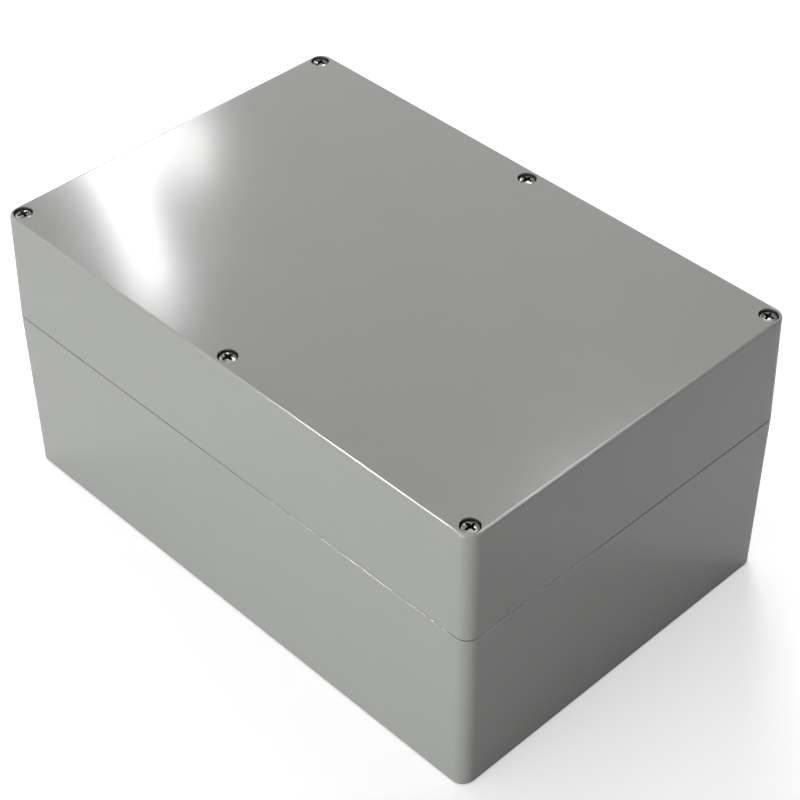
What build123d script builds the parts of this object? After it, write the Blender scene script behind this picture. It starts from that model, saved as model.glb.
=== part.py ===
from build123d import *
from math import ceil
import os

# Screw-lid box moulded in ABS: a deep base and a deep lid that meet at a seam,
# six long screws through the lid into brass inserts in the base, a tongue and
# a gasket that run round the inside of the screws, and wells for wall screws.
# Origin: centre of the underside.  X is the length, Y the width, Z is up.

# Outside
LENGTH = 240.0
WIDTH = 160.0
BASE_HEIGHT = 73.5
LID_HEIGHT = 46.5
CORNER_R = 5.3
TOP_EDGE_R = 1.0
BOTTOM_EDGE_R = 0.8
SEAM_EDGE_R = 0.3
SEAM_GAP = 0.5
SEAM_GAP_DEPTH = 0.8
BASE_DRAFT = 0.5
LID_DRAFT = 1.0

# Walls at the seam, from the outside in: lip, groove, inner lip
OUTER_LIP = 1.3
GROOVE_W = 1.5
INNER_LIP = 1.0
FLOOR = 3.0
ROOF = 3.0

# Seal
SEAL_TURN_R = 3.5
SEAL_SKIN = 1.2
TONGUE_H = 2.2
TONGUE_GAP = 0.2
GASKET_T = 2.0

# Lid screws
SCREW_INSET_X = 5.5
SCREW_INSET_Y = 6.0
SCREW_D = 4.0
SCREW_TIP_CHAMFER = 0.5
SCREW_PITCH = 0.7
THREAD_ENGAGED = 5.9
HEAD_D = 6.7
HEAD_H = 2.6
HEAD_CROWN = 0.55
HEAD_UNDER_ROOF = 0.3
HEAD_GAP = 0.3
RECESS_SPAN = 4.4
RECESS_FOOT = 2.0
RECESS_WIDTH = 1.05
RECESS_DEPTH = 1.9
RECESS_CORE_D = 2.3
SHANK_HOLE_GAP = 0.25
THREAD_FIT = 0.05

# Brass inserts in the base's posts
INSERT_WALL = 0.8
INSERT_LENGTH = 8.0
INSERT_SET = 0.5
INSERT_BAND_W = 1.2
INSERT_BAND_DEPTH = 0.3
INSERT_CHAMFER = 0.3
TIP_ROOM = 3.0

# Rings that keep the screws in the lid
RETAINER_D = 7.0
RETAINER_T = 1.5
RETAINER_GAP = 0.3

# Wells for the wall screws, outside the seal
WELL_D = 8.6
WELL_SKIN = 2.7
WELL_TO_SCREW_SKIN = 2.4
WALL_HOLE_D = 4.5
LID_CORE_STOP = 8.0

# Bosses for circuit boards
BOSS_PITCH_X = 190.0
BOSS_PITCH_Y = 100.0
INNER_BOSS_PITCH_X = 100.0
BOSS_D = 7.0
BOSS_HOLE_D = 2.9
BASE_BOSS_H = 8.0
LID_BOSS_H = 5.0
BOSS_HOLE_INTO_WALL = 1.0

# Card guides on the long walls
GUIDE_PITCH = 18.0
GUIDES_EACH_SIDE = 4
GUIDE_RIB_T = 1.5
GUIDE_RIB_DEPTH = 2.0
GUIDE_SLOT_W = 1.9
GUIDE_BELOW_SEAM = 9.0

# Worked out from the above
HEIGHT = BASE_HEIGHT + LID_HEIGHT
SEAM_Z = BASE_HEIGHT
WALL = OUTER_LIP + GROOVE_W + INNER_LIP
TONGUE_W = GROOVE_W - 2 * TONGUE_GAP
GROOVE_DEPTH = TONGUE_H + GASKET_T
SCREW_X = LENGTH / 2 - SCREW_INSET_X
SCREW_Y = WIDTH / 2 - SCREW_INSET_Y
INSERT_TOP_Z = SEAM_Z - INSERT_SET
HEAD_SEAT_Z = HEIGHT - HEAD_UNDER_ROOF - HEAD_H
SCREW_TIP_Z = INSERT_TOP_Z - THREAD_ENGAGED
SCREW_LENGTH = HEAD_SEAT_Z - SCREW_TIP_Z
SCREW_TURNS = ceil(THREAD_ENGAGED / SCREW_PITCH)
SCREW_RISE = SCREW_PITCH * SCREW_TURNS
COUNTERBORE_D = HEAD_D + 2 * HEAD_GAP
SHANK_HOLE_D = SCREW_D + 2 * SHANK_HOLE_GAP
POCKET_D = RETAINER_D + 2 * RETAINER_GAP
POCKET_DEPTH = RETAINER_T + SCREW_RISE + 2 * RETAINER_GAP
INSERT_D = SCREW_D + 2 * (THREAD_FIT + INSERT_WALL)
THREAD_HOLE_D = SCREW_D + 2 * THREAD_FIT
WELL_X = SCREW_X - POCKET_D / 2 - WELL_TO_SCREW_SKIN - WELL_D / 2
WELL_Y = WIDTH / 2 - WELL_SKIN - WELL_D / 2

SCREW_PLACES = {
    "front_left": (-SCREW_X, -SCREW_Y),
    "front_middle": (0.0, -SCREW_Y),
    "front_right": (SCREW_X, -SCREW_Y),
    "back_left": (-SCREW_X, SCREW_Y),
    "back_middle": (0.0, SCREW_Y),
    "back_right": (SCREW_X, SCREW_Y),
}
WELL_PLACES = [(x, y) for x in (-WELL_X, WELL_X) for y in (-WELL_Y, WELL_Y)]


def pin(place, diameter, low, high):
    """A round bar standing at a place between two heights."""
    x, y = place
    bar = extrude(Circle(diameter / 2), high - low)
    return Pos(x, y, low) * bar


def tapered_block(height, draft):
    """A block that is full size at the seam and narrows upward, corners rounded."""
    block = extrude(Rectangle(LENGTH, WIDTH), height, taper=draft)
    edges = block.edges().filter_by(Axis.Z, tolerance=2 * draft)
    return fillet(edges, CORNER_R)


def outer_shape(height, draft, far_edge_r):
    """The outside of one shell, seam downward, with its far rim rounded."""
    block = tapered_block(height, draft)
    return fillet(block.edges().group_by(Axis.Z)[-1], far_edge_r)


def seal_line():
    """The area inside the seal's centre line, which turns in round every hole."""
    half_x = LENGTH / 2 - OUTER_LIP - GROOVE_W / 2
    half_y = WIDTH / 2 - OUTER_LIP - GROOVE_W / 2
    to_screw = POCKET_D / 2 + SEAL_SKIN + GROOVE_W / 2
    to_well = WELL_D / 2 + SEAL_SKIN + GROOVE_W / 2
    corner_x = WELL_X - to_well
    corner_y = min(WELL_Y - to_well, SCREW_Y - to_screw)
    middle_y = SCREW_Y - to_screw
    area = Rectangle(2 * half_x, 2 * half_y)
    for side_y in (-1, 1):
        depth = half_y - middle_y
        area -= Pos(0, side_y * (half_y + middle_y) / 2) * Rectangle(2 * to_screw, depth)
        for side_x in (-1, 1):
            notch = Rectangle(half_x - corner_x, half_y - corner_y)
            area -= Pos(side_x * (half_x + corner_x) / 2, side_y * (half_y + corner_y) / 2) * notch
    return fillet(area.vertices(), SEAL_TURN_R)


def seal_band(width, low, high):
    """A closed band of a given width along the seal line between two heights."""
    line = seal_line()
    band = offset(line, width / 2) - offset(line, -width / 2)
    return Pos(0, 0, low) * extrude(band, high - low)


def cavity(height):
    """The hollow of one shell, seam downward: it follows the seal line inside."""
    mouth = offset(seal_line(), -(GROOVE_W / 2 + INNER_LIP))
    return extrude(mouth, height)


def seam_gap():
    """The shallow slot round the lid's rim that shows as a dark line at the seam."""
    inside = Rectangle(LENGTH - 2 * SEAM_GAP_DEPTH, WIDTH - 2 * SEAM_GAP_DEPTH)
    inside = fillet(inside.vertices(), CORNER_R - SEAM_GAP_DEPTH)
    frame = Rectangle(LENGTH + WALL, WIDTH + WALL) - inside
    return Pos(0, 0, SEAM_Z) * extrude(frame, SEAM_GAP)


def boss_places(*pitches_x):
    """Board boss centres for one or more pitches along the length."""
    return [
        (side_x * pitch / 2, side_y * BOSS_PITCH_Y / 2)
        for pitch in pitches_x
        for side_x in (-1, 1)
        for side_y in (-1, 1)
    ]


def card_guides():
    """Pairs of upright ribs on the inside of both long walls of the base."""
    ribs = []
    wall_y = WIDTH / 2 - WALL
    depth = GUIDE_RIB_DEPTH + WALL / 2
    rib = Rectangle(GUIDE_RIB_T, depth)
    height = SEAM_Z - GUIDE_BELOW_SEAM - FLOOR / 2
    rib_offset = (GUIDE_SLOT_W + GUIDE_RIB_T) / 2
    for side_y in (-1, 1):
        y = side_y * (wall_y - GUIDE_RIB_DEPTH + depth / 2)
        for side_x in (-1, 1):
            for n in range(GUIDES_EACH_SIDE):
                slot_x = side_x * GUIDE_PITCH * (n + 1)
                for x in (slot_x - rib_offset, slot_x + rib_offset):
                    ribs.append(Pos(x, y, FLOOR / 2) * extrude(rib, height))
    return ribs


def make_base():
    """Lower shell with posts, wells, tongue, board bosses and card guides."""
    outside = outer_shape(BASE_HEIGHT, BASE_DRAFT, BOTTOM_EDGE_R)
    outside = fillet(outside.edges().group_by(Axis.Z)[0], SEAM_EDGE_R)
    hollow = cavity(BASE_HEIGHT - FLOOR)
    seam_down = Pos(0, 0, SEAM_Z) * Rot(180, 0, 0)
    body = seam_down * (outside - hollow)
    body += card_guides()
    bosses = boss_places(BOSS_PITCH_X, INNER_BOSS_PITCH_X)
    boss_top = FLOOR + BASE_BOSS_H
    body += [pin(place, BOSS_D, FLOOR / 2, boss_top) for place in bosses]
    body += seal_band(TONGUE_W, SEAM_Z - TONGUE_H / 2, SEAM_Z + TONGUE_H)
    holes = [pin(place, BOSS_HOLE_D, FLOOR - BOSS_HOLE_INTO_WALL, boss_top) for place in bosses]
    insert_end = INSERT_TOP_Z - INSERT_LENGTH
    tip_room_end = min(SCREW_TIP_Z, insert_end) - TIP_ROOM
    for place in SCREW_PLACES.values():
        holes.append(pin(place, INSERT_D, insert_end, SEAM_Z))
        holes.append(pin(place, SHANK_HOLE_D, tip_room_end, SEAM_Z))
    for place in WELL_PLACES:
        holes.append(pin(place, WELL_D, FLOOR, SEAM_Z))
        holes.append(pin(place, WALL_HOLE_D, 0, SEAM_Z))
    return body - holes


def make_lid():
    """Upper shell with screw columns, counterbores, seal groove, seam gap and bosses."""
    outside = outer_shape(LID_HEIGHT, LID_DRAFT, TOP_EDGE_R)
    hollow = cavity(LID_HEIGHT - ROOF)
    body = Pos(0, 0, SEAM_Z) * (outside - hollow)
    bosses = boss_places(BOSS_PITCH_X)
    roof_z = HEIGHT - ROOF
    body += [pin(place, BOSS_D, roof_z - LID_BOSS_H, roof_z + ROOF / 2) for place in bosses]
    hole_end = roof_z + BOSS_HOLE_INTO_WALL
    holes = [pin(place, BOSS_HOLE_D, roof_z - LID_BOSS_H, hole_end) for place in bosses]
    for place in SCREW_PLACES.values():
        holes.append(pin(place, COUNTERBORE_D, HEAD_SEAT_Z, HEIGHT))
        holes.append(pin(place, SHANK_HOLE_D, SEAM_Z, HEAD_SEAT_Z))
        holes.append(pin(place, POCKET_D, SEAM_Z, SEAM_Z + POCKET_DEPTH))
    for place in WELL_PLACES:
        holes.append(pin(place, WELL_D, SEAM_Z, HEIGHT - LID_CORE_STOP))
    groove = seal_band(GROOVE_W, SEAM_Z, SEAM_Z + GROOVE_DEPTH)
    return body - holes - groove - seam_gap()


def make_gasket():
    """Rubber loop that fills the end of the lid's groove and rests on the tongue."""
    return seal_band(GROOVE_W, SEAM_Z + TONGUE_H, SEAM_Z + GROOVE_DEPTH)


def make_insert():
    """Brass insert, top at zero: plain bore, chamfered ends, one anchoring band."""
    radius = INSERT_D / 2
    bore = THREAD_HOLE_D / 2
    waist = radius - INSERT_BAND_DEPTH
    middle = -INSERT_LENGTH / 2
    outline = Polyline(
        (bore, 0),
        (radius - INSERT_CHAMFER, 0),
        (radius, -INSERT_CHAMFER),
        (radius, middle + INSERT_BAND_W / 2),
        (waist, middle + INSERT_BAND_W / 2),
        (waist, middle - INSERT_BAND_W / 2),
        (radius, middle - INSERT_BAND_W / 2),
        (radius, INSERT_CHAMFER - INSERT_LENGTH),
        (radius - INSERT_CHAMFER, -INSERT_LENGTH),
        (bore, -INSERT_LENGTH),
        close=True,
    )
    return revolve(Plane.XZ * make_face(outline), Axis.Z)


def cross_recess():
    """Cross recess seen from above, mouth at zero: two wings and a tapered core."""
    half_span = RECESS_SPAN / 2
    half_foot = RECESS_FOOT / 2
    side = Polyline(
        (-half_span, HEAD_CROWN),
        (half_span, HEAD_CROWN),
        (half_span, -HEAD_CROWN),
        (half_foot, -RECESS_DEPTH),
        (-half_foot, -RECESS_DEPTH),
        (-half_span, -HEAD_CROWN),
        close=True,
    )
    wing = extrude(Plane.XZ * make_face(side), RECESS_WIDTH / 2, both=True)
    core = Pos(0, 0, -RECESS_DEPTH / 2) * Cone(RECESS_WIDTH / 2, RECESS_CORE_D / 2, RECESS_DEPTH)
    return wing + Rot(0, 0, 90) * wing + core


def make_screw():
    """Machine screw with a crowned round head, seat of the head at zero."""
    radius = SCREW_D / 2
    head_r = HEAD_D / 2
    rim_z = HEAD_H - HEAD_CROWN
    tip = -SCREW_LENGTH
    side = Polyline(
        (0, HEAD_H),
        (0, tip),
        (radius - SCREW_TIP_CHAMFER, tip),
        (radius, tip + SCREW_TIP_CHAMFER),
        (radius, 0),
        (head_r, 0),
        (head_r, rim_z),
    )
    crown = TangentArc((0, HEAD_H), (head_r, rim_z), tangent=(1, 0))
    turned = revolve(Plane.XZ * make_face([side, crown]), Axis.Z)
    return turned - Pos(0, 0, HEAD_H) * cross_recess()


def make_retainer():
    """Push-on ring that grips the screw's shank, underside at zero."""
    return extrude(Circle(RETAINER_D / 2) - Circle(THREAD_HOLE_D / 2), RETAINER_T)


def save(piece, name):
    """Writes one piece as a file named after it."""
    export_step(piece, f"parts/{name}.step")


os.makedirs("parts", exist_ok=True)
save(make_base(), "base")
save(make_lid(), "lid")
save(make_gasket(), "gasket")
insert = make_insert()
screw = make_screw()
retainer = make_retainer()
for where, (x, y) in SCREW_PLACES.items():
    save(Pos(x, y, INSERT_TOP_Z) * insert, f"insert_{where}")
    save(Pos(x, y, HEAD_SEAT_Z) * screw, f"screw_{where}")
    save(Pos(x, y, SEAM_Z + RETAINER_GAP) * retainer, f"retainer_{where}")
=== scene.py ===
from math import cos, pi, radians, sin, sqrt, tau

import bmesh
import bpy
from mathutils import Matrix, Vector


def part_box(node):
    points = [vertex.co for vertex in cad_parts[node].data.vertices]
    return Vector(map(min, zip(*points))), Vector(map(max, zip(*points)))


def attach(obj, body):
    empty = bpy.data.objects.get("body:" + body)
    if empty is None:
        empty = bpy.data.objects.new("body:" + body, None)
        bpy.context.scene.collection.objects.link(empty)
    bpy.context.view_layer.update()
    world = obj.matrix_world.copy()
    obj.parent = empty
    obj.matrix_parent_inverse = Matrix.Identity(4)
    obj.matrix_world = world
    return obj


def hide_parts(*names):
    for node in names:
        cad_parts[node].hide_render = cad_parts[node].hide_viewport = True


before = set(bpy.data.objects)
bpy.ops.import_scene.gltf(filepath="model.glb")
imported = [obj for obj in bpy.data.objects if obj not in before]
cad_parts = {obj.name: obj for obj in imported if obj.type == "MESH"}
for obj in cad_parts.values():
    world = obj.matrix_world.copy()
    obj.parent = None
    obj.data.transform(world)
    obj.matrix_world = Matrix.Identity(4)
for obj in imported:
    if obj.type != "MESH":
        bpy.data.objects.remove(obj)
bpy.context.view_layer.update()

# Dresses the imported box: camera, studio, materials, and the small hardware in full detail.
# All sizes are metres, in the frame of the solids.

MM = 0.001

# Camera
CAMERA_AT = Vector((0.43613, -0.41670, 0.58146))
CAMERA_AZIMUTH = radians(45.116)
CAMERA_ELEVATION = radians(40.676)
CAMERA_ROLL = radians(0.274)
CAMERA_SENSOR = 36.0
CAMERA_LENS = 95.715
CAMERA_SHIFT = (-0.0247, -0.0208)
CLOSEST_SEEN = 0.01
FARTHEST_SEEN = 200.0

# Studio: each lamp by where it is, the point it faces, its sides, its turn and its radiance.
# The two small windows make the bright patch on the lid, and the key beside them casts the
# shadow. The softboxes give the even light. The rim strips draw the lines along the lid's top
# edges, and the glints are the white spots on the screws' crowns.
BOX_MIDDLE = (0.0, 0.0, 0.06)
LAMPS = {
    "tall_window": ((-1.148, 0.709, 1.072), (-0.090, -0.061, 0.152), 0.049, 0.200, 13.4, 18.5),
    "low_window": ((-1.186, 0.747, 0.997), (-0.127, -0.024, 0.078), 0.175, 0.061, -9.8, 16.0),
    "window_key": ((-1.01, 1.05, 1.12), BOX_MIDDLE, 0.60, 0.60, 0.0, 7.5),
    "back_low_softbox": ((-1.11, 1.28, 0.68), BOX_MIDDLE, 0.60, 0.40, 0.0, 6.3),
    "back_high_softbox": ((-0.34, 0.58, 1.73), BOX_MIDDLE, 1.00, 1.00, 0.0, 1.67),
    "left_softbox": ((-1.34, 0.00, 1.26), BOX_MIDDLE, 0.80, 0.80, 0.0, 1.96),
    "left_high_softbox": ((-0.38, -0.66, 1.69), BOX_MIDDLE, 1.00, 1.00, 0.0, 1.8),
    "front_low_softbox": ((0.08, -0.98, 0.10), BOX_MIDDLE, 0.65, 0.27, 0.0, 8.8),
    "front_softbox": ((0.27, -1.73, 0.46), BOX_MIDDLE, 1.00, 0.80, 0.0, 2.4),
    "front_rim_strip": ((-0.719, -0.724, 1.21), (0.085, -0.080, 0.120), 0.15, 0.22, 0.0, 150.0),
    "side_rim_strip": ((0.765, 0.757, 1.212), (0.120, -0.045, 0.120), 0.15, 0.22, 0.0, 24.0),
    "right_glint": ((-0.509, 0.956, 1.498), BOX_MIDDLE, 0.35, 0.35, 0.0, 14.0),
    "left_glint": ((-1.393, 0.940, 0.705), BOX_MIDDLE, 0.25, 0.25, 0.0, 9.0),
    "right_softbox": ((1.35, 0.78, 0.96), BOX_MIDDLE, 0.80, 0.80, 0.0, 0.5),
}
UNSEEN_IN_REFLECTIONS = ("window_key", "back_low_softbox")
ONLY_IN_REFLECTIONS = ("front_rim_strip", "side_rim_strip", "right_glint", "left_glint")
AMBIENT = 0.06
BACKDROP_WHITE = 1.0
FLOOR_SIDE = 40.0
FLOOR_DROP = 0.02 * MM
FLOOR_COLOUR = (0.90, 0.90, 0.90, 1.0)
FLOOR_GLOW_TO_CAMERA = 0.50
FLOOR_GLOW_IN_GLOSS = 0.154

# Lid screws, from the seat of the head
SCREW_R = 2.0 * MM
SCREW_LENGTH = 50.0 * MM
TIP_CHAMFER = 0.5 * MM
HEAD_R = 3.35 * MM
HEAD_H = 2.6 * MM
HEAD_CROWN = 0.55 * MM
HEAD_RIM_R = 0.25 * MM
CROWN_STEPS = 9
RECESS_HALF_SPAN = 2.2 * MM
RECESS_HALF_FOOT = 1.0 * MM
RECESS_HALF_WIDTH = 0.525 * MM
RECESS_DEPTH = 1.9 * MM
RECESS_CORE_R = 1.15 * MM
RECESS_EDGE_R = 0.05 * MM
THREAD_LENGTH = 20.0 * MM
THREAD_RUN_OUT = 0.4 * MM
THREAD_PITCH = 0.7 * MM
THREAD_DEPTH = 0.43 * MM
THREAD_CLEARANCE = 0.03 * MM
# a thread's outline along one pitch: share of the pitch, share of the depth
THREAD_OUTLINE = ((0.0, 0.0), (0.125, 0.0), (0.4375, 1.0), (0.6875, 1.0), (1.0, 0.0))
COLUMNS = 48

# Mesh work: what is one point, what is flat, what is a sharp edge, and how the mouth of the
# recess is found on the crown (how near to it, how steep, how far out)
WELD = 0.003 * MM
FLAT = radians(1)
SHARP = radians(32)
MOUTH_NEAR = 0.02 * MM
MOUTH_STEEP = radians(35)
MOUTH_REACH = 1.05 * RECESS_HALF_SPAN
STRUCK_REACH = 1.1 * RECESS_HALF_SPAN

# The turn, in degrees, at which each screw's recess came to rest
RECESS_TURNS = {
    "front_left": -10.0,
    "front_middle": -4.0,
    "front_right": -2.0,
    "back_left": 14.0,
    "back_middle": 0.0,
    "back_right": 5.0,
}

# Heights of the hardware, from the solids
SCREW_TIP_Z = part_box("screw_front_left")[0].z
HEAD_SEAT_Z = SCREW_TIP_Z + SCREW_LENGTH
INSERT_TOP_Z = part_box("insert_front_left")[1].z
RING_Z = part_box("retainer_front_left")[0].z

# Brass inserts, from the top
INSERT_R = 2.85 * MM
INSERT_LENGTH = 8.0 * MM
INSERT_CHAMFER = 0.3 * MM
INSERT_MOUTH_R = 2.3 * MM
KNURL_DEPTH = 0.22 * MM
KNURL_TWIST = 0.45
WAIST_DEPTH = 0.3 * MM
WAIST_WIDTH = 1.2 * MM

# Nylon rings on the screws
RING_R = 3.5 * MM
RING_BORE_R = 2.05 * MM
RING_T = 1.5 * MM
RING_EDGE_R = 0.12 * MM
RING_SLITS = 6
RING_SLIT_R = 2.75 * MM
RING_SLIT_W = 0.45 * MM

# Colours, linear
ABS_GREY = (0.340, 0.349, 0.334, 1.0)
STEEL = (0.15, 0.148, 0.144, 1.0)
# the recess's steel, darkened as painted shade
RECESS_SHADE_STEEL = (0.05, 0.049, 0.048, 1.0)
BRASS = (0.72, 0.50, 0.22, 1.0)
RUBBER = (0.020, 0.020, 0.021, 1.0)
NYLON = (0.70, 0.69, 0.62, 1.0)

# Shares of the ABS colour where it is worn, on its rims (a painted highlight) and in its crevices (painted
# shade)
WORN_SHADE = 1.25
PAINTED_RIM_HIGHLIGHT = 1.2
PAINTED_CREVICE_SHADE = 0.08

# Edge wear, the painted rim highlight and the painted crevice shade: how round edges count as, which upward
# shares are a rim, what is a crevice
WORN_EDGE_R = 0.6 * MM
RIM_STARTS = (0.10, 0.45)
RIM_ENDS = (0.995, 0.90)
CREVICE_REACH = 2.0 * MM
CREVICE_OPENNESS = (0.60, 0.30)
MARK_HEIGHT = 0.02 * MM


def new_group(name, inputs, outputs):
    """A shader node group with number inputs at their usual values and number outputs."""
    tree = bpy.data.node_groups.new(name, "ShaderNodeTree")
    for label, value in inputs.items():
        socket = tree.interface.new_socket(name=label, in_out="INPUT", socket_type="NodeSocketFloat")
        socket.default_value = value
    for label in outputs:
        tree.interface.new_socket(name=label, in_out="OUTPUT", socket_type="NodeSocketFloat")
    way_in = tree.nodes.new("NodeGroupInput")
    way_out = tree.nodes.new("NodeGroupOutput")
    return tree, way_in, way_out


def math_node(tree, operation, first, second=None, third=None):
    """One Math node; each input is a number or another node's output."""
    node = tree.nodes.new("ShaderNodeMath")
    node.operation = operation
    for socket, value in zip(node.inputs, (first, second, third)):
        if value is None:
            continue
        if isinstance(value, (int, float)):
            socket.default_value = value
        else:
            tree.links.new(value, socket)
    return node.outputs[0]


def noise(tree, scale, detail=2.0, roughness=0.5):
    """Noise over the piece's own coordinates, 0 to 1."""
    place = tree.nodes.new("ShaderNodeTexCoord")
    node = tree.nodes.new("ShaderNodeTexNoise")
    node.inputs["Detail"].default_value = detail
    node.inputs["Roughness"].default_value = roughness
    tree.links.new(place.outputs["Object"], node.inputs["Vector"])
    if isinstance(scale, (int, float)):
        node.inputs["Scale"].default_value = scale
    else:
        tree.links.new(scale, node.inputs["Scale"])
    return node.outputs["Fac"]


def moulded_skin_group():
    """The skin of a moulding: fine spark-eroded grain on slow, shallow waves."""
    tree, way_in, way_out = new_group(
        "moulded_skin",
        {"Grain Scale": 2600.0, "Grain Depth": 1.0, "Wave Scale": 22.0, "Wave Depth": 1.0},
        ["Height", "Cloud"],
    )
    grain = noise(tree, way_in.outputs["Grain Scale"], 3.0, 0.6)
    wave = noise(tree, way_in.outputs["Wave Scale"], 1.0)
    grain = math_node(tree, "MULTIPLY", grain, way_in.outputs["Grain Depth"])
    deep = math_node(tree, "MULTIPLY", wave, way_in.outputs["Wave Depth"])
    tree.links.new(math_node(tree, "ADD", grain, deep), way_out.inputs["Height"])
    tree.links.new(noise(tree, 60.0, 4.0, 0.62), way_out.inputs["Cloud"])
    return tree


def ramp(tree, value, start, end):
    """A value run smoothly from 0 at one level to 1 at another."""
    node = tree.nodes.new("ShaderNodeMapRange")
    node.interpolation_type = "SMOOTHSTEP"
    node.inputs["From Min"].default_value = start
    node.inputs["From Max"].default_value = end
    tree.links.new(value, node.inputs["Value"])
    return node.outputs["Result"]


def wear_and_painted_light_group():
    """Masks of worn sharp edges, of rounded rims that face up for a painted highlight, and of narrow
    crevices for painted shade.
    """
    inputs = {"Break Up": 420.0, "Reach": 2.2}
    tree, way_in, way_out = new_group("wear_and_painted_light", inputs, ["Mask", "Rim", "Crevice Shade"])
    rounded = tree.nodes.new("ShaderNodeBevel")
    rounded.samples = 4
    rounded.inputs["Radius"].default_value = WORN_EDGE_R
    surface = tree.nodes.new("ShaderNodeNewGeometry")
    likeness = tree.nodes.new("ShaderNodeVectorMath")
    likeness.operation = "DOT_PRODUCT"
    tree.links.new(rounded.outputs[0], likeness.inputs[0])
    tree.links.new(surface.outputs["Normal"], likeness.inputs[1])
    turn = math_node(tree, "SUBTRACT", 1.0, likeness.outputs["Value"])
    patchy = noise(tree, way_in.outputs["Break Up"], 3.0)
    reach = math_node(tree, "MULTIPLY", turn, way_in.outputs["Reach"])
    worn = math_node(tree, "MULTIPLY", reach, patchy)
    clamp = tree.nodes.new("ShaderNodeClamp")
    tree.links.new(worn, clamp.inputs["Value"])
    tree.links.new(clamp.outputs[0], way_out.inputs["Mask"])
    place = tree.nodes.new("ShaderNodeTexCoord")
    split = tree.nodes.new("ShaderNodeSeparateXYZ")
    tree.links.new(place.outputs["Normal"], split.inputs[0])
    upward = split.outputs["Z"]
    # painted highlight: rounded rims that face up, a little uneven
    above_side = ramp(tree, upward, *RIM_STARTS)
    below_top = ramp(tree, upward, *RIM_ENDS)
    between = math_node(tree, "MULTIPLY", above_side, below_top)
    rim_unevenness = math_node(tree, "MULTIPLY_ADD", patchy, 0.5, 0.75)
    tree.links.new(math_node(tree, "MULTIPLY", between, rim_unevenness), way_out.inputs["Rim"])
    # painted shade: narrow crevices, found by ambient occlusion
    openness = tree.nodes.new("ShaderNodeAmbientOcclusion")
    openness.samples = 4
    openness.inputs["Distance"].default_value = CREVICE_REACH
    narrow = ramp(tree, openness.outputs["AO"], *CREVICE_OPENNESS)
    tree.links.new(narrow, way_out.inputs["Crevice Shade"])
    return tree


def turning_marks_group():
    """Fine rings about the piece's own upright axis, as a lathe or a header leaves them."""
    inputs = {"Rings": 9000.0, "Scratches": 900.0}
    tree, way_in, way_out = new_group("turning_marks", inputs, ["Height", "Haze"])
    place = tree.nodes.new("ShaderNodeTexCoord")
    split = tree.nodes.new("ShaderNodeSeparateXYZ")
    tree.links.new(place.outputs["Object"], split.inputs[0])
    across = math_node(tree, "MULTIPLY", split.outputs["X"], split.outputs["X"])
    along = math_node(tree, "MULTIPLY", split.outputs["Y"], split.outputs["Y"])
    radius = math_node(tree, "SQRT", math_node(tree, "ADD", across, along))
    phase = math_node(tree, "MULTIPLY", radius, way_in.outputs["Rings"])
    rings = math_node(tree, "SINE", phase)
    scratches = noise(tree, way_in.outputs["Scratches"], 4.0, 0.7)
    tree.links.new(math_node(tree, "MULTIPLY_ADD", rings, 0.3, scratches), way_out.inputs["Height"])
    tree.links.new(noise(tree, 500.0, 3.0), way_out.inputs["Haze"])
    return tree


EFFECTS = {
    "moulded_skin": moulded_skin_group(),
    "wear_and_painted_light": wear_and_painted_light_group(),
    "turning_marks": turning_marks_group(),
}


def new_material(name, colour, roughness, metallic=0.0, ior=1.5):
    """A material with one Principled BSDF, its steady values set on its own sockets."""
    material = bpy.data.materials.new(name)
    material.use_nodes = True
    tree = material.node_tree
    skin = tree.nodes["Principled BSDF"]
    skin.inputs["Base Color"].default_value = colour
    skin.inputs["Roughness"].default_value = roughness
    skin.inputs["Metallic"].default_value = metallic
    skin.inputs["IOR"].default_value = ior
    material.diffuse_color = colour
    return material, tree, skin


def effect(tree, name, **values):
    """Places a shared effect in a material with its own values."""
    node = tree.nodes.new("ShaderNodeGroup")
    node.node_tree = EFFECTS[name]
    for label, value in values.items():
        node.inputs[label.replace("_", " ")].default_value = value
    return node


def vary_roughness(tree, skin, mask, low, high):
    """Runs the roughness between two values over a mask."""
    spread = tree.nodes.new("ShaderNodeMapRange")
    spread.inputs["From Min"].default_value = 0.3
    spread.inputs["From Max"].default_value = 0.7
    spread.inputs["To Min"].default_value = low
    spread.inputs["To Max"].default_value = high
    tree.links.new(mask, spread.inputs["Value"])
    tree.links.new(spread.outputs["Result"], skin.inputs["Roughness"])


def tint(tree, skin, mask, first, second):
    """Runs the base colour from one colour to another over a mask; the first may be a node's."""
    mix = tree.nodes.new("ShaderNodeMix")
    mix.data_type = "RGBA"
    colours = [socket for socket in mix.inputs if socket.type == "RGBA"]
    if isinstance(first, tuple):
        colours[0].default_value = first
    else:
        tree.links.new(first, colours[0])
    colours[1].default_value = second
    tree.links.new(mask, mix.inputs["Factor"])
    result = [socket for socket in mix.outputs if socket.type == "RGBA"][0]
    tree.links.new(result, skin.inputs["Base Color"])
    return result


def shade(colour, factor):
    """A colour made lighter or darker."""
    return (*[c * factor for c in colour[:3]], 1.0)


def emboss(tree, skin, height, strength, distance, edge_radius=0.0):
    """Bumps the surface by a height, over edges rounded by a small radius."""
    bump = tree.nodes.new("ShaderNodeBump")
    bump.inputs["Strength"].default_value = strength
    bump.inputs["Distance"].default_value = distance
    tree.links.new(height, bump.inputs["Height"])
    if edge_radius:
        rounded = tree.nodes.new("ShaderNodeBevel")
        rounded.samples = 6
        rounded.inputs["Radius"].default_value = edge_radius
        tree.links.new(rounded.outputs[0], bump.inputs["Normal"])
    tree.links.new(bump.outputs[0], skin.inputs["Normal"])


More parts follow.
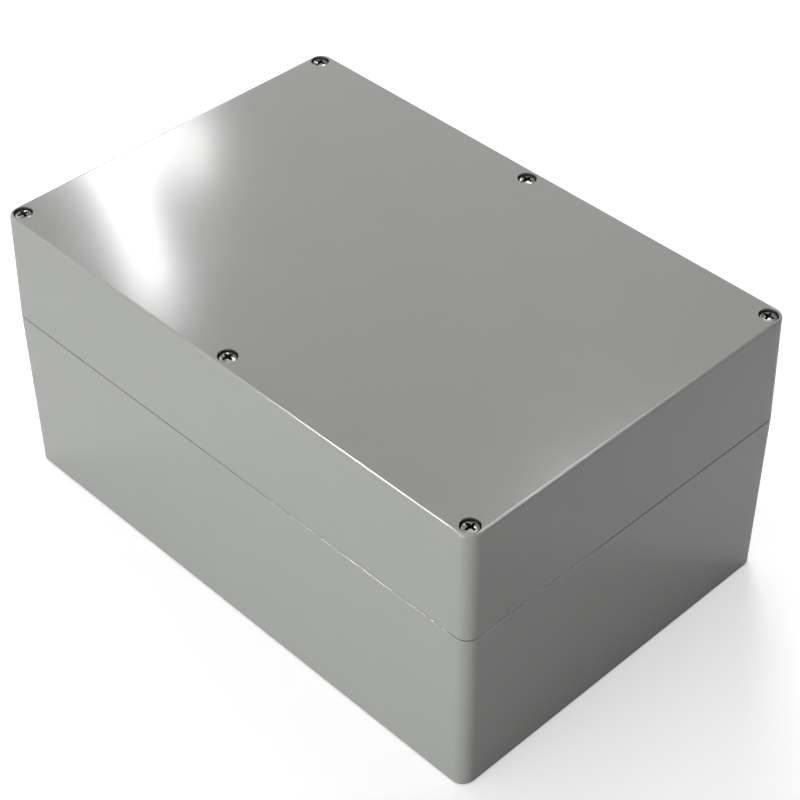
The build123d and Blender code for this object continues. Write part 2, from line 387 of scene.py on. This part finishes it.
def abs_material():
    """Satin grey ABS, a little cloudy, with faintly paler worn edges, a painted highlight on its upward rims
    and painted shade in its crevices.
    """
    material, tree, skin = new_material("abs_satin_grey", ABS_GREY, 0.22, ior=1.54)
    surface = effect(tree, "moulded_skin")
    wear_and_light_masks = effect(tree, "wear_and_painted_light")
    cloud = surface.outputs["Cloud"]
    cloudy = tint(tree, skin, cloud, shade(ABS_GREY, 0.985), shade(ABS_GREY, 1.015))
    worn = tint(tree, skin, wear_and_light_masks.outputs["Mask"], cloudy, shade(ABS_GREY, WORN_SHADE))
    # painted highlight on the rims that face up
    highlighted = tint(tree, skin, wear_and_light_masks.outputs["Rim"], worn, shade(ABS_GREY, PAINTED_RIM_HIGHLIGHT))
    # painted shade in the crevices
    tint(tree, skin, wear_and_light_masks.outputs["Crevice Shade"], highlighted, shade(ABS_GREY, PAINTED_CREVICE_SHADE))
    vary_roughness(tree, skin, cloud, 0.11, 0.13)
    emboss(tree, skin, surface.outputs["Height"], 0.05, 0.05 * MM, 0.15 * MM)
    return material


def marked_metal(name, colour, roughness, shades, gloss, depth, **marks):
    """A metal with turning marks: colour and roughness run over the marks' haze."""
    material, tree, skin = new_material(name, colour, roughness, metallic=1.0)
    surface = effect(tree, "turning_marks", **marks)
    haze = surface.outputs["Haze"]
    tint(tree, skin, haze, *[shade(colour, share) for share in shades])
    vary_roughness(tree, skin, haze, *gloss)
    emboss(tree, skin, surface.outputs["Height"], depth, MARK_HEIGHT)
    return material


def steel_material():
    """Bright stainless steel with header rings and fine scratches."""
    return marked_metal("bright_stainless", STEEL, 0.2, (0.9, 1.08), (0.10, 0.20), 0.12)


def recess_shade_material():
    """The dull inside of a struck recess, painted dark as shade."""
    marks = {"Rings": 5000.0, "Scratches": 1500.0}
    return marked_metal("recess_painted_shade", RECESS_SHADE_STEEL, 0.4, (0.7, 1.4), (0.3, 0.5), 0.15, **marks)


def brass_material():
    """Turned brass, slightly dulled."""
    marks = {"Rings": 14000.0, "Scratches": 700.0}
    return marked_metal("turned_brass", BRASS, 0.3, (0.82, 1.1), (0.22, 0.4), 0.2, **marks)


def grained_moulding(name, colour, roughness, shades, gloss, depth, height, **grain):
    """A matt moulding: colour and roughness run over the clouds of its skin."""
    material, tree, skin = new_material(name, colour, roughness)
    surface = effect(tree, "moulded_skin", **grain)
    cloud = surface.outputs["Cloud"]
    tint(tree, skin, cloud, *[shade(colour, share) for share in shades])
    vary_roughness(tree, skin, cloud, *gloss)
    emboss(tree, skin, surface.outputs["Height"], depth, height)
    return material, skin


def rubber_material():
    """Matt black seal rubber with a fine, dusty grain."""
    grain = {"Grain_Scale": 5200.0, "Wave_Scale": 140.0}
    look = ((0.8, 1.9), (0.66, 0.85), 0.3, 0.06 * MM)
    material, skin = grained_moulding("seal_rubber", RUBBER, 0.75, *look, **grain)
    return material


def nylon_material():
    """Natural nylon, matt and slightly translucent at its edges."""
    grain = {"Grain_Scale": 4200.0, "Wave_Scale": 180.0}
    look = ((0.93, 1.04), (0.42, 0.6), 0.2, 0.05 * MM)
    material, skin = grained_moulding("natural_nylon", NYLON, 0.5, *look, **grain)
    skin.inputs["Subsurface Weight"].default_value = 0.15
    skin.inputs["Subsurface Scale"].default_value = 0.6 * MM
    return material


FINISHES = {
    "abs_grey": abs_material(),
    "steel": steel_material(),
    "brass": brass_material(),
    "seal_rubber": rubber_material(),
    "nylon": nylon_material(),
}


def thread_radius(turns):
    """Outer radius of the screw's thread at a number of pitches past a crest."""
    share = turns % 1.0
    for (start, high), (end, low) in zip(THREAD_OUTLINE, THREAD_OUTLINE[1:]):
        if share <= end:
            depth = high + (low - high) * (share - start) / (end - start)
            return SCREW_R - depth * THREAD_DEPTH


def round_point(radius, column, z):
    """A point on a circle about the upright axis, by its column."""
    angle = tau * column / COLUMNS
    return (radius * cos(angle), radius * sin(angle), z)


def ring(mesh, radius, z, twist=0.0):
    """A circle of new corners; its radius may change from column to column."""
    radii = radius if isinstance(radius, (list, tuple)) else [radius] * COLUMNS
    return [mesh.verts.new(round_point(r, i + twist, z)) for i, r in enumerate(radii)]


def bridge(mesh, lower, upper):
    """Joins two rings with a band of faces that looks outward when the upper is above."""
    for i in range(COLUMNS):
        j = (i + 1) % COLUMNS
        mesh.faces.new((lower[i], lower[j], upper[j], upper[i]))


def threaded_wall(mesh, low, high, crest_z, swell, limit):
    """A right-hand thread between two heights; returns its end rings.

    crest_z is the height of a crest at column 0, swell is added to the radius,
    and limit(radius, z) cuts it back where an end is chamfered.
    """
    first = int((low - crest_z) // THREAD_PITCH) - 2
    last = int((high - crest_z) // THREAD_PITCH) + 2
    corners = THREAD_OUTLINE[:-1]
    columns = []
    for i in range(COLUMNS):
        column = []
        for k in range(first, last):
            for share, _ in corners:
                z = crest_z + THREAD_PITCH * (k + share + i / COLUMNS)
                z = min(max(z, low), high)
                radius = thread_radius((z - crest_z) / THREAD_PITCH - i / COLUMNS) + swell
                column.append(mesh.verts.new(round_point(limit(radius, z), i, z)))
        columns.append(column)
    for i in range(COLUMNS):
        step = len(corners) if i == COLUMNS - 1 else 0
        here, beside = columns[i], columns[(i + 1) % COLUMNS]
        for m in range(-step, len(here) - 1):
            a, b = max(m, 0), max(m + 1, 0)
            c, d = min(m + 1 + step, len(here) - 1), min(m + step, len(here) - 1)
            face = list(dict.fromkeys((here[a], beside[d], beside[c], here[b])))
            if len(face) > 2:
                mesh.faces.new(face)
    return [column[0] for column in columns], [column[-1] for column in columns]


def cap(mesh, rim, upward):
    """Closes a ring with one flat face."""
    mesh.faces.new(rim if upward else rim[::-1])


def finished_mesh(mesh, name, *finishes):
    """Cleans a mesh and hands it over as data, smooth but for its sharp edges."""
    bmesh.ops.remove_doubles(mesh, verts=mesh.verts, dist=WELD)
    bmesh.ops.dissolve_degenerate(mesh, edges=mesh.edges, dist=WELD)
    bmesh.ops.recalc_face_normals(mesh, faces=mesh.faces)
    data = bpy.data.meshes.new(name)
    mesh.to_mesh(data)
    mesh.free()
    data.shade_smooth()
    data.set_sharp_from_angle(angle=SHARP)
    for finish in finishes:
        data.materials.append(finish)
    return data


def crown_height(radius):
    """Height of the head's domed top at a distance from its axis."""
    dome_r = (HEAD_R * HEAD_R + HEAD_CROWN * HEAD_CROWN) / (2 * HEAD_CROWN)
    return HEAD_H - dome_r + sqrt(dome_r * dome_r - radius * radius)


def screw_blank():
    """The screw before its recess is struck: thread, shank and domed head."""
    mesh = bmesh.new()
    tip = -SCREW_LENGTH
    thread_end = tip + THREAD_LENGTH

    def chamfer(radius, z):
        return min(radius, SCREW_R - TIP_CHAMFER + z - tip)

    lower, upper = threaded_wall(mesh, tip, thread_end, tip, 0.0, chamfer)
    cap(mesh, lower, False)
    rim_z = HEAD_H - HEAD_CROWN
    outline = [(SCREW_R, thread_end + THREAD_RUN_OUT), (SCREW_R, 0.0), (HEAD_R - HEAD_RIM_R / 2, 0.0)]
    outline += [(HEAD_R, HEAD_RIM_R / 2), (HEAD_R, rim_z - HEAD_RIM_R)]
    for angle in (radians(30), radians(60)):
        inward = HEAD_RIM_R * (1 - cos(angle))
        upward = HEAD_RIM_R * sin(angle)
        outline.append((HEAD_R - inward, rim_z - HEAD_RIM_R + upward))
    for n in range(CROWN_STEPS):
        radius = (HEAD_R - HEAD_RIM_R) * (1 - n / CROWN_STEPS)
        outline.append((radius, crown_height(radius)))
    for radius, z in outline:
        higher = ring(mesh, radius, z)
        bridge(mesh, upper, higher)
        upper = higher
    cap(mesh, upper, True)
    return finished_mesh(mesh, "screw_blank", FINISHES["steel"])


def hull(mesh, points):
    """Adds the smallest closed shape round some points."""
    corners = [mesh.verts.new(point) for point in points]
    bmesh.ops.convex_hull(mesh, input=corners)


def recess_punch():
    """The punch for the cross recess: two wings and a tapered core."""
    mesh = bmesh.new()
    mouth = HEAD_H + HEAD_CROWN
    waist = HEAD_H - HEAD_CROWN
    foot = HEAD_H - RECESS_DEPTH
    side = [(RECESS_HALF_SPAN, mouth), (RECESS_HALF_SPAN, waist), (RECESS_HALF_FOOT, foot)]
    for across in (False, True):
        points = []
        for reach, z in side:
            for sx in (-1, 1):
                for sy in (-1, 1):
                    x, y = sx * reach, sy * RECESS_HALF_WIDTH
                    points.append((y, x, z) if across else (x, y, z))
        hull(mesh, points)
    core = [round_point(RECESS_CORE_R, i, HEAD_H) for i in range(0, COLUMNS, 2)]
    core += [round_point(RECESS_CORE_R, i, mouth) for i in range(0, COLUMNS, 2)]
    core += [round_point(RECESS_HALF_WIDTH, i, foot) for i in range(0, COLUMNS, 2)]
    hull(mesh, core)
    # the punch's dark steel, painted shade, passes to the recess's faces
    return finished_mesh(mesh, "recess_punch", recess_shade_material())


def struck_screw(blank_data, punch_data, turn):
    """The blank with the recess struck into it at a turn, as data."""
    blank = bpy.data.objects.new("screw_blank", blank_data)
    punch = bpy.data.objects.new("recess_punch", punch_data)
    punch.rotation_euler.z = radians(turn)
    for piece in (blank, punch):
        bpy.context.scene.collection.objects.link(piece)
    cut = blank.modifiers.new("recess", "BOOLEAN")
    cut.operation = "DIFFERENCE"
    cut.solver = "EXACT"
    cut.material_mode = "TRANSFER"
    cut.use_self = True
    cut.object = punch
    bpy.context.view_layer.update()
    cut_blank = blank.evaluated_get(bpy.context.evaluated_depsgraph_get())
    struck = bpy.data.meshes.new_from_object(cut_blank)
    for piece in (blank, punch):
        bpy.data.objects.remove(piece)
    return struck


def is_mouth(edge):
    """Whether an edge is where the recess breaks through the crown."""
    if edge.calc_face_angle(0.0) <= MOUTH_STEEP:
        return False
    ends = [vert.co for vert in edge.verts]
    if sum(ends, Vector()).xy.length / 2 >= MOUTH_REACH:
        return False
    return all(abs(end.z - crown_height(end.xy.length)) < MOUTH_NEAR for end in ends)


def soften(mesh, edges, radius):
    """Rounds some edges a little."""
    look = {"segments": 2, "profile": 0.5, "affect": "EDGES", "clamp_overlap": True}
    bmesh.ops.bevel(mesh, geom=edges, offset=radius, **look)


def screw_mesh(blank_data, punch_data, turn):
    """The finished screw: its recess struck at a turn, the recess's mouth slightly rounded."""
    struck = struck_screw(blank_data, punch_data, turn)
    mesh = bmesh.new()
    mesh.from_mesh(struck)
    inside = []
    for edge in mesh.edges:
        if all(vert.co.z > 0 and vert.co.xy.length < STRUCK_REACH for vert in edge.verts):
            inside.append(edge)
    bmesh.ops.dissolve_limit(mesh, angle_limit=FLAT, verts=[], edges=inside)
    soften(mesh, [edge for edge in mesh.edges if is_mouth(edge)], RECESS_EDGE_R)
    bmesh.ops.triangulate(mesh, faces=mesh.faces)
    return finished_mesh(mesh, "lid_screw", *struck.materials)


def insert_mesh():
    """Brass insert: threaded bore, chamfered ends and two bands of crossed knurling."""
    mesh = bmesh.new()
    end = -INSERT_LENGTH
    low_mouth = end + INSERT_MOUTH_R

    def mouths(radius, z):
        return max(radius, INSERT_MOUTH_R + z, low_mouth - z)

    crest_z = SCREW_TIP_Z - INSERT_TOP_Z
    lower, upper = threaded_wall(mesh, end, 0.0, crest_z, THREAD_CLEARANCE, mouths)
    teeth = [INSERT_R - KNURL_DEPTH * (i % 2) for i in range(COLUMNS)]
    waist = INSERT_R - WAIST_DEPTH
    band = (INSERT_LENGTH - WAIST_WIDTH) / 2 - INSERT_CHAMFER
    shoulder = KNURL_DEPTH / 2
    rise = KNURL_TWIST * band / MM
    outline = [
        (INSERT_R - INSERT_CHAMFER, end, 0.0),
        (teeth, end + INSERT_CHAMFER, 0.0),
        (teeth, end + INSERT_CHAMFER + band - shoulder, rise),
        (waist, end + INSERT_CHAMFER + band, rise),
        (waist, -INSERT_CHAMFER - band, rise),
        (teeth, -INSERT_CHAMFER - band + shoulder, rise),
        (teeth, -INSERT_CHAMFER, 0.0),
        (INSERT_R - INSERT_CHAMFER, 0.0, 0.0),
    ]
    wall = lower
    for radius, z, twist in outline:
        outer = ring(mesh, radius, z, twist)
        bridge(mesh, wall, outer)
        wall = outer
    bridge(mesh, wall, upper)
    return finished_mesh(mesh, "brass_insert", FINISHES["brass"])


def retainer_mesh():
    """Nylon ring whose bore is slit into gripping tongues, all edges softened."""
    mesh = bmesh.new()
    outer = [round_point(RING_R, i, 0.0) for i in range(COLUMNS)]
    inner = []
    for n in range(RING_SLITS):
        middle = tau * n / RING_SLITS
        half_bore = RING_SLIT_W / 2 / RING_BORE_R
        half_end = RING_SLIT_W / 2 / RING_SLIT_R
        inner += [(RING_BORE_R, middle - half_bore), (RING_SLIT_R, middle - half_end)]
        inner += [(RING_SLIT_R, middle + half_end), (RING_BORE_R, middle + half_bore)]
        tongue = tau / RING_SLITS - 2 * half_bore
        inner += [(RING_BORE_R, middle + half_bore + tongue * share / 6) for share in range(1, 6)]
    inner = [(r * cos(angle), r * sin(angle), 0.0) for r, angle in inner]
    rims = []
    for points in (outer, inner):
        corners = [mesh.verts.new(point) for point in points]
        rims += [mesh.edges.new((corners[i], corners[i - 1])) for i in range(len(corners))]
    sheet = bmesh.ops.triangle_fill(mesh, use_beauty=True, use_dissolve=False, edges=rims)
    faces = [g for g in sheet["geom"] if isinstance(g, bmesh.types.BMFace)]
    bmesh.ops.dissolve_limit(mesh, angle_limit=FLAT, verts=[], edges=[])
    raised = bmesh.ops.extrude_face_region(mesh, geom=faces, use_keep_orig=True)
    lifted = [g for g in raised["geom"] if isinstance(g, bmesh.types.BMVert)]
    bmesh.ops.translate(mesh, verts=lifted, vec=(0.0, 0.0, RING_T))
    bmesh.ops.recalc_face_normals(mesh, faces=mesh.faces)
    rims = []
    for edge in mesh.edges:
        low, high = sorted(vert.co.z for vert in edge.verts)
        if edge.calc_face_angle(0.0) > radians(60) and high - low < RING_T / 2:
            rims.append(edge)
    soften(mesh, rims, RING_EDGE_R)
    return finished_mesh(mesh, "retainer_ring", FINISHES["nylon"])


def add_hardware():
    """Puts a detailed screw, insert and ring where the six plain ones are."""
    blank = screw_blank()
    punch = recess_punch()
    insert = insert_mesh()
    retainer = retainer_mesh()
    for where, turn in RECESS_TURNS.items():
        screw = screw_mesh(blank, punch, turn)
        kinds = {
            "screw": (screw, "steel", HEAD_SEAT_Z, f"screw_{where}"),
            "insert": (insert, "brass", INSERT_TOP_Z, "base"),
            "retainer": (retainer, "nylon", RING_Z, f"retainer_{where}"),
        }
        for kind, (data, finish, z, body) in kinds.items():
            node = f"{kind}_{where}"
            low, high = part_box(node)
            piece = bpy.data.objects.new(f"{kind}_in_detail_{where}", data)
            piece.location = ((low.x + high.x) / 2, (low.y + high.y) / 2, z)
            bpy.context.scene.collection.objects.link(piece)
            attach(piece, body)
            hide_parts(node)


def paint_nodes():
    """Gives every CAD node the finish of its material slot."""
    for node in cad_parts.values():
        for holder in node.material_slots:
            holder.material = FINISHES[holder.material.name.split(".")[0]]


def brighter_to(tree, camera, gloss):
    """A strength that only camera rays see, or only glossy and transmission rays."""
    rays = tree.nodes.new("ShaderNodeLightPath")
    mirrored = math_node(tree, "MAXIMUM", rays.outputs["Is Glossy Ray"], rays.outputs["Is Transmission Ray"])
    mirrored = math_node(tree, "MULTIPLY", mirrored, gloss)
    return math_node(tree, "MULTIPLY_ADD", rays.outputs["Is Camera Ray"], camera, mirrored)


def add_world():
    """Grey light from all round, white where the camera or a reflection sees it."""
    world = bpy.data.worlds.new("studio")
    world.use_nodes = True
    tree = world.node_tree
    glow = tree.nodes["Background"]
    seen = brighter_to(tree, BACKDROP_WHITE - AMBIENT, BACKDROP_WHITE - AMBIENT)
    tree.links.new(math_node(tree, "ADD", seen, AMBIENT), glow.inputs["Strength"])
    glow.inputs["Color"].default_value = (1.0, 1.0, 1.0, 1.0)
    bpy.context.scene.world = world


def add_floor():
    """A wide white floor just under the box, a little brighter to the eye than it is lit."""
    mesh = bpy.data.meshes.new("floor")
    half = FLOOR_SIDE / 2
    around = ((-half, -half), (half, -half), (half, half), (-half, half))
    corners = [(x, y, -FLOOR_DROP) for x, y in around]
    mesh.from_pydata(corners, [], [(0, 1, 2, 3)])
    floor = bpy.data.objects.new("floor", mesh)
    bpy.context.scene.collection.objects.link(floor)
    material, tree, skin = new_material("white_floor", FLOOR_COLOUR, 0.9)
    skin.inputs["Specular IOR Level"].default_value = 0.0
    skin.inputs["Emission Color"].default_value = (1.0, 1.0, 1.0, 1.0)
    glow = brighter_to(tree, FLOOR_GLOW_TO_CAMERA, FLOOR_GLOW_IN_GLOSS)
    tree.links.new(glow, skin.inputs["Emission Strength"])
    mesh.materials.append(material)


def add_lamps():
    """Rectangular area lamps, each of a stated radiance."""
    for name, (place, aim, width, height, turn, radiance) in LAMPS.items():
        lamp = bpy.data.lights.new(name, "AREA")
        lamp.shape = "RECTANGLE"
        lamp.size = width
        lamp.size_y = height
        lamp.energy = radiance * width * height * pi
        facing = (Vector(aim) - Vector(place)).to_track_quat("-Z", "Y").to_matrix().to_4x4()
        holder = bpy.data.objects.new(name, lamp)
        holder.matrix_world = Matrix.Translation(place) @ facing @ Matrix.Rotation(radians(turn), 4, "Z")
        holder.visible_glossy = name not in UNSEEN_IN_REFLECTIONS
        holder.visible_diffuse = name not in ONLY_IN_REFLECTIONS
        bpy.context.scene.collection.objects.link(holder)


def add_camera():
    """The camera that the photograph was taken with, as fitted to its outlines."""
    data = bpy.data.cameras.new("camera")
    data.sensor_width = CAMERA_SENSOR
    data.lens = CAMERA_LENS
    data.shift_x, data.shift_y = CAMERA_SHIFT
    data.clip_start = CLOSEST_SEEN
    data.clip_end = FARTHEST_SEEN
    camera = bpy.data.objects.new("camera", data)
    swing = Matrix.Rotation(CAMERA_AZIMUTH, 4, "Z")
    tilt = Matrix.Rotation(pi / 2 - CAMERA_ELEVATION, 4, "X")
    roll = Matrix.Rotation(CAMERA_ROLL, 4, "Z")
    camera.matrix_world = Matrix.Translation(CAMERA_AT) @ swing @ tilt @ roll
    bpy.context.scene.collection.objects.link(camera)
    bpy.context.scene.camera = camera


bpy.context.scene.view_settings.view_transform = "Standard"
add_camera()
add_world()
add_floor()
add_lamps()
paint_nodes()
add_hardware()
